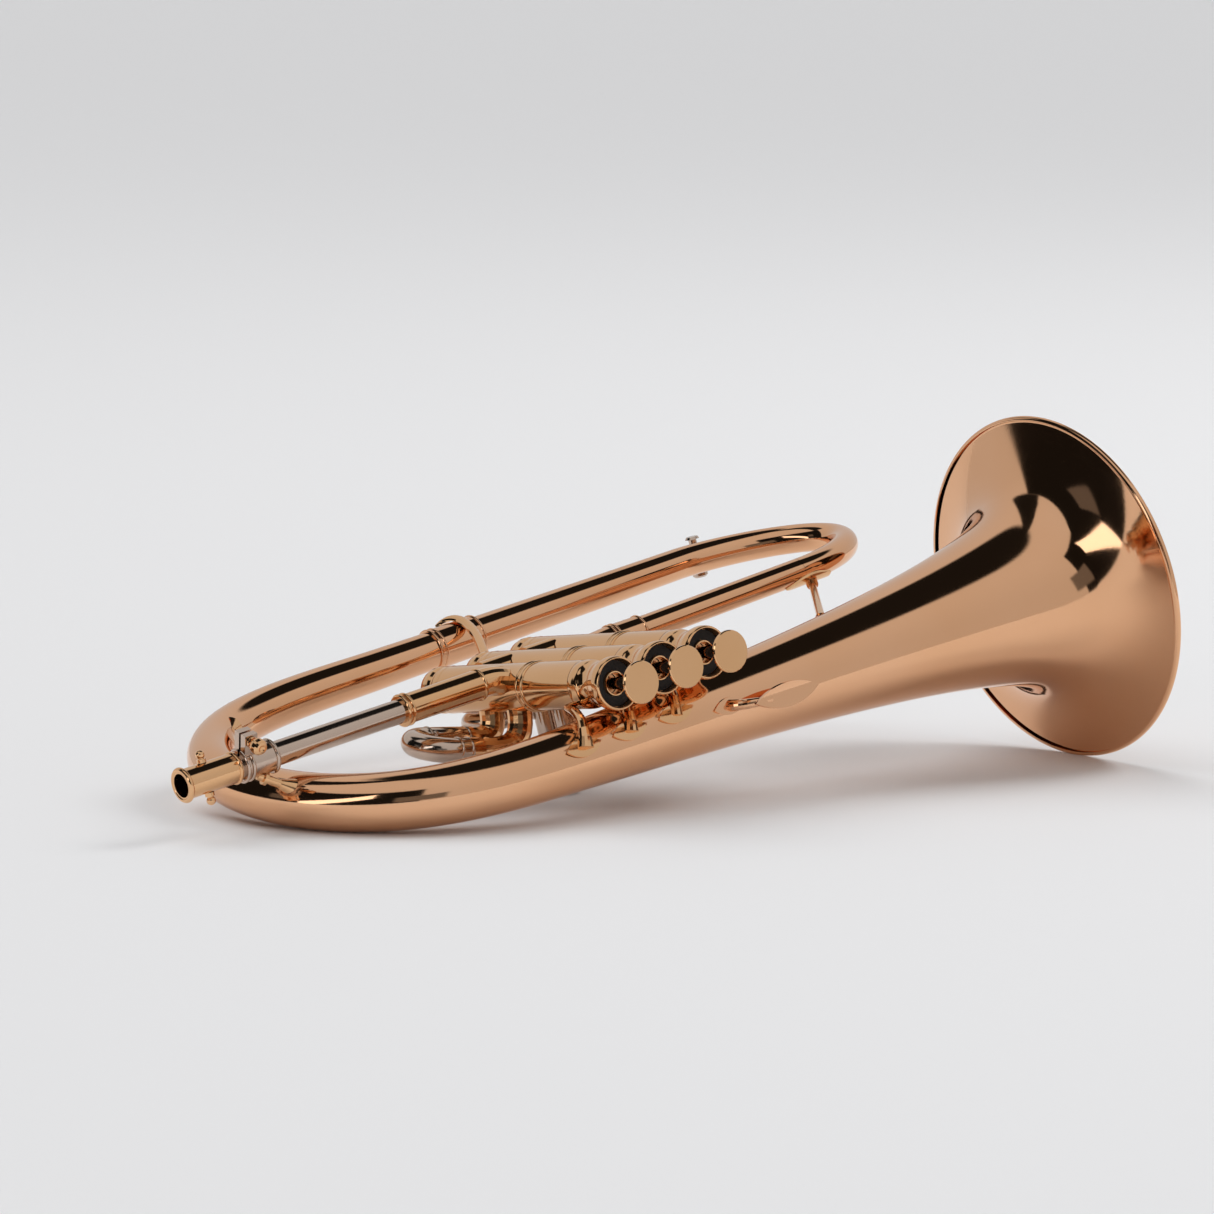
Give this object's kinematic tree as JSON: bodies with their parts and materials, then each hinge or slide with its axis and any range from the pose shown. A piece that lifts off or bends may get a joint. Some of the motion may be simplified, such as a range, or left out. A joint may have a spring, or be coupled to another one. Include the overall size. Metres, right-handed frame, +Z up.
{
  "type": "flugelhorn",
  "caption": "Flugelhorn with a wide conical bell, looped tubing, piston valves with finger buttons, tuning slides, sliding leadpipe and push-button water key, lying on its side.",
  "frame": {"origin": "centre of the lying horn's bounding box, on the ground it rests on", "axes": "+X from the mouthpiece end towards the bell, +Z up as the horn lies on its side, -Y towards the finger buttons"},
  "size_m": [0.4368, 0.2416, 0.1498],
  "materials": {
    "lacquered_rose_brass": "clear-lacquered, polished",
    "lacquered_brass": "clear-lacquered, polished",
    "nickel_silver": "nickel silver, polished; weighed as brass, which is 1 percent lighter",
    "spring_steel": "drawn wire",
    "felt": "black felt"
  },
  "bodies": {
    "horn": {"bell": "lacquered_rose_brass", "rim_wire": "nickel_silver", "bell_bow": "lacquered_rose_brass", "bow_ferrule": "nickel_silver", "crook_brace": "lacquered_brass", "lower_tube": "lacquered_rose_brass", "front_bow": "lacquered_rose_brass", "water_key_body": "nickel_silver", "water_key_spring": "spring_steel", "outlet_tube": "lacquered_rose_brass", "outlet_ferrule": "lacquered_rose_brass", "outlet_knuckle": "lacquered_rose_brass", "front_brace": "lacquered_brass", "casing_1": "lacquered_brass", "casing_2": "lacquered_brass", "casing_3": "lacquered_brass", "top_cap_1": "lacquered_brass", "top_cap_2": "lacquered_brass", "top_cap_3": "lacquered_brass", "bottom_cap_1": "lacquered_brass", "bottom_cap_2": "lacquered_brass", "bottom_cap_3": "lacquered_brass", "cap_felt_1": "felt", "cap_felt_2": "felt", "cap_felt_3": "felt", "spring_1": "spring_steel", "spring_2": "spring_steel", "spring_3": "spring_steel", "crossing_12": "lacquered_brass", "crossing_23": "lacquered_brass", "inlet_knuckle": "lacquered_brass", "leadpipe_sleeve": "lacquered_brass", "clamp_collar": "nickel_silver", "clamp_brace_near": "lacquered_brass", "clamp_brace_far": "lacquered_brass", "slide_1_outer": "nickel_silver", "slide_1_knuckles": "lacquered_brass", "slide_2_outer": "nickel_silver", "slide_3_outer": "nickel_silver", "slide_3_knuckles": "lacquered_brass", "valve_braces": "lacquered_brass", "finger_hook": "lacquered_rose_brass"},
    "valve_1": {"piston_1": "nickel_silver", "stem_1": "nickel_silver", "button_1": "lacquered_brass"},
    "valve_2": {"piston_2": "nickel_silver", "stem_2": "nickel_silver", "button_2": "lacquered_brass"},
    "valve_3": {"piston_3": "nickel_silver", "stem_3": "nickel_silver", "button_3": "lacquered_brass"},
    "leadpipe": {"leadpipe": "nickel_silver", "receiver": "lacquered_brass"},
    "lock_screw": {"lock_screw": "lacquered_brass"},
    "slide_1": {"slide_1": "nickel_silver"},
    "slide_2": {"slide_2": "nickel_silver"},
    "slide_3": {"slide_3": "nickel_silver"},
    "water_key": {"water_key_plunger": "nickel_silver"}
  },
  "joints": [
    {"name": "valve_1_press", "type": "slide", "parent": "horn", "child": "valve_1", "axis": [0.0254, 0.9905, -0.1351], "range_m": [0, 0.016], "stiffness_N_per_m": 80, "springref_m": -0.03, "deforming": ["spring_1"]},
    {"name": "valve_2_press", "type": "slide", "parent": "horn", "child": "valve_2", "axis": [0.0254, 0.9905, -0.1351], "range_m": [0, 0.016], "stiffness_N_per_m": 80, "springref_m": -0.03, "deforming": ["spring_2"]},
    {"name": "valve_3_press", "type": "slide", "parent": "horn", "child": "valve_3", "axis": [0.0254, 0.9905, -0.1351], "range_m": [0, 0.016], "stiffness_N_per_m": 80, "springref_m": -0.03, "deforming": ["spring_3"]},
    {"name": "leadpipe_pull", "type": "slide", "parent": "horn", "child": "leadpipe", "axis": [-0.9827, 0, -0.185], "range_m": [0, 0.015]},
    {"name": "lock_screw_turn", "type": "hinge", "parent": "horn", "child": "lock_screw", "pos_m": [-0.18835, 0.00313, 0.03942], "axis": [0.0544, -0.9558, -0.289], "range_deg": [0, 180]},
    {"name": "slide_1_pull", "type": "slide", "parent": "horn", "child": "slide_1", "axis": [-0.9967, 0.0356, 0.0733], "range_m": [0, 0.007]},
    {"name": "slide_2_pull", "type": "slide", "parent": "horn", "child": "slide_2", "axis": [0.1832, -0.1374, -0.9734], "range_m": [0, 0.012]},
    {"name": "slide_3_pull", "type": "slide", "parent": "horn", "child": "slide_3", "axis": [-0.9827, 0, -0.185], "range_m": [0, 0.008]},
    {"name": "water_key_press", "type": "slide", "parent": "horn", "child": "water_key", "axis": [0.1832, -0.1374, -0.9734], "range_m": [0, 0.002], "stiffness_N_per_m": 150, "springref_m": -0.004, "deforming": ["water_key_spring"]}
  ]
}
